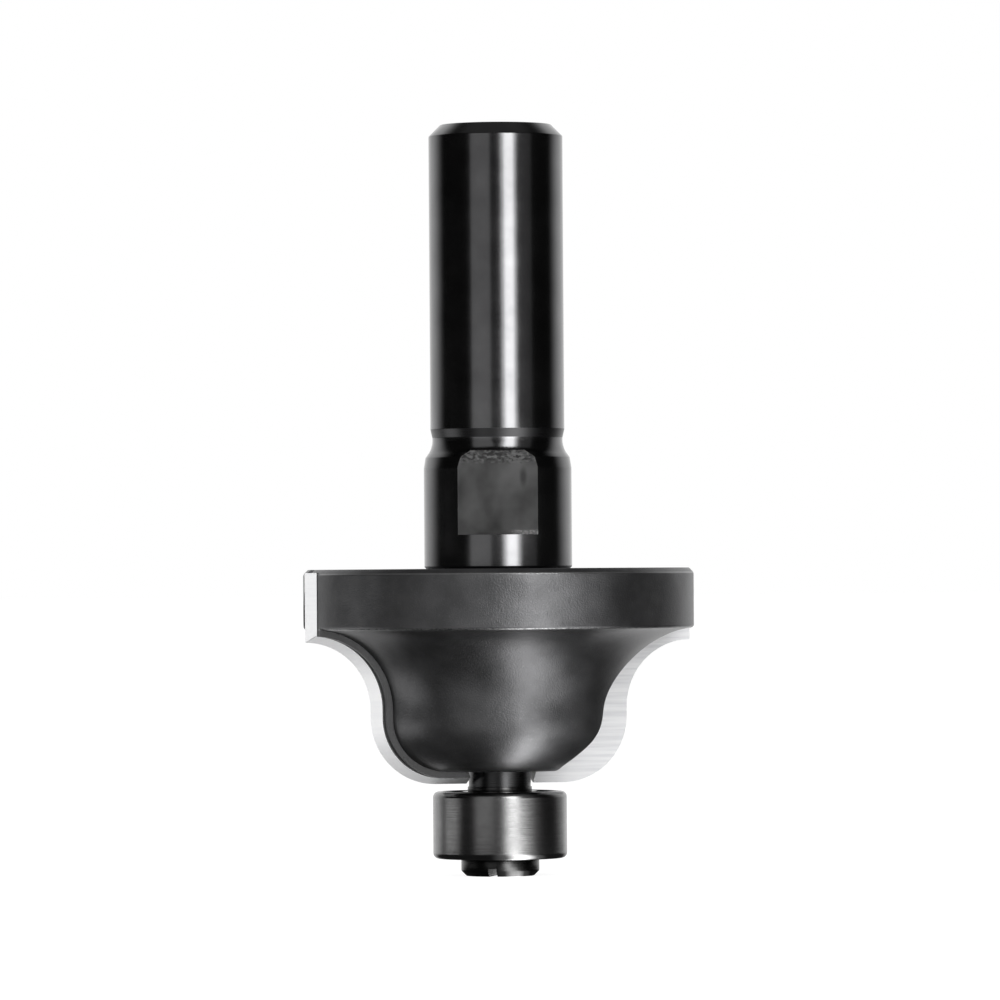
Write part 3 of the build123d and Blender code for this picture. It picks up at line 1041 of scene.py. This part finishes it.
OUTER_ZONES = (
    (COVE_FLOOR, 25 * MM, 29 * MM),
    (MIDDLE_FLOOR, 34 * MM, 44 * MM),
    (FAR_FLOOR, 250 * MM, 400 * MM),
)
print("brightest floor:", max(tone for degrees, tone in BEAD_FLOOR))

# %% Floor in mirrors
floor_material = bpy.data.materials.new("pale_floor")
floor_material.use_nodes = True
ground = NodeTree(floor_material.node_tree)
ground.tree.nodes.clear()
spot = ground.node("ShaderNodeNewGeometry", {}, {}, output="Position")
azimuth = ground.maths("ARCTAN2", ground.part(spot, "X"), ground.part(spot, "Y") * -1.0)
round_the_bit = azimuth * (0.5 / math.pi) + 0.5


def floor_ramp(pattern):
    """Brightness in mirrors, as a share of the peak, by direction round the bit."""
    return ground.ramp(round_the_bit, *[
        ((degrees + 180) / 360, tone / MIRROR_PEAK) for degrees, tone in pattern])


mirror_tone = floor_ramp(BEAD_FLOOR)
for pattern, start, end in OUTER_ZONES:
    beyond = ground.step(ground.length(spot), start, end)
    mirror_tone = ground.blend(beyond, mirror_tone, floor_ramp(pattern))

# %% Lay the floor
FLOOR_RADIUS = 12.0
FLOOR_GLOW = 0.90
for_mirrors = ground.node(
    "ShaderNodeEmission", {}, {"Color": mirror_tone, "Strength": MIRROR_PEAK})
pale = ground.node("ShaderNodeBsdfDiffuse", {}, {"Color": grey(0.8)})
shaded = ground.node("ShaderNodeBsdfDiffuse", {}, {"Color": grey(0.3)})
lit = ground.node("ShaderNodeEmission", {}, {"Color": WHITE, "Strength": FLOOR_GLOW})
for_camera = ground.node("ShaderNodeAddShader", {}, {0: shaded, 1: lit})
surface = pale
for kind, shader in (("Is Glossy Ray", for_mirrors), ("Is Camera Ray", for_camera)):
    surface = ground.node("ShaderNodeMixShader", {}, {0: ray(ground, kind), 1: surface, 2: shader})
ground.node("ShaderNodeOutputMaterial", {}, {"Surface": surface})

floor_mesh = bmesh.new()
bmesh.ops.create_circle(floor_mesh, cap_ends=True, radius=FLOOR_RADIUS, segments=96)
floor = make_object("pale_floor", floor_mesh)
floor.data.materials.append(floor_material)
print(f"floor: {len(ground.tree.nodes)} nodes")

# %% [markdown]
# ## Lamps
#
# A tall soft box to the right of the camera draws the long streak on shank, disc and ring. A
# wider and weaker one behind it gives the streak soft sides. A broad box on the left and a
# very weak one far right keep the turned sides from going black. The side box lights the
# pale carbide from the left. It is hidden from mirrors, because on the dark steel it would
# draw a second streak.

# %% Soft boxes
LAMP_DISTANCE = 0.60
LAMP_HEIGHT = 0.22
LAMP_TALL = 0.48
AIM_HEIGHT = 0.03


def soft_box(name, azimuth, width, radiance, distance=LAMP_DISTANCE, height=LAMP_HEIGHT):
    """A tall area lamp at an azimuth to the right of the camera, facing the bit."""
    lamp = bpy.data.lights.new(name, "AREA")
    lamp.shape = "RECTANGLE"
    lamp.size = width
    lamp.size_y = LAMP_TALL
    lamp.energy = radiance * math.pi * width * LAMP_TALL
    thing = bpy.data.objects.new(name, lamp)
    angle = math.radians(azimuth)
    place = Vector((distance * math.sin(angle), -distance * math.cos(angle), height))
    aim = Vector((0, 0, AIM_HEIGHT)) - place
    thing.location = place
    thing.rotation_euler = aim.to_track_quat("-Z", "Y").to_euler()
    thing.visible_camera = False
    bpy.context.scene.collection.objects.link(thing)
    print(f"{name}: {lamp.energy:.3f} W")
    return thing


soft_box("key_box", azimuth=22, width=0.19, radiance=4.4)
soft_box("key_halo", azimuth=21.5, width=0.32, radiance=1.9, distance=0.61)
soft_box("fill_box", azimuth=-27, width=0.39, radiance=0.47)
soft_box("spill_box", azimuth=52, width=0.24, radiance=0.12)
side_box = soft_box("side_box", azimuth=-78, width=0.42, radiance=3.0, height=0.14)
side_box.visible_glossy = False

# %% [markdown]
# ## Camera
#
# A long lens from about 0.7 m keeps the shank's sides parallel. The camera looks level at
# the height of the tips, rolled by a fraction of a degree, and a small shift places the bit
# in the frame.

# %% Camera
CAMERA_DISTANCE = 0.706
CAMERA_HEIGHT = 0.028
CAMERA_ROLL = 0.395
camera_data = bpy.data.cameras.new("camera")
camera_data.sensor_width = 36.0
camera_data.lens = 268.2
camera_data.shift_x = 0.0016
camera_data.shift_y = 0.080
camera_data.clip_start = 0.01
camera_data.clip_end = 50.0
camera = bpy.data.objects.new("camera", camera_data)
camera.location = (0, -CAMERA_DISTANCE, CAMERA_HEIGHT)
camera.rotation_euler = (math.radians(90), math.radians(CAMERA_ROLL), 0)
bpy.context.scene.collection.objects.link(camera)
bpy.context.scene.camera = camera
bpy.context.scene.view_settings.view_transform = "Standard"
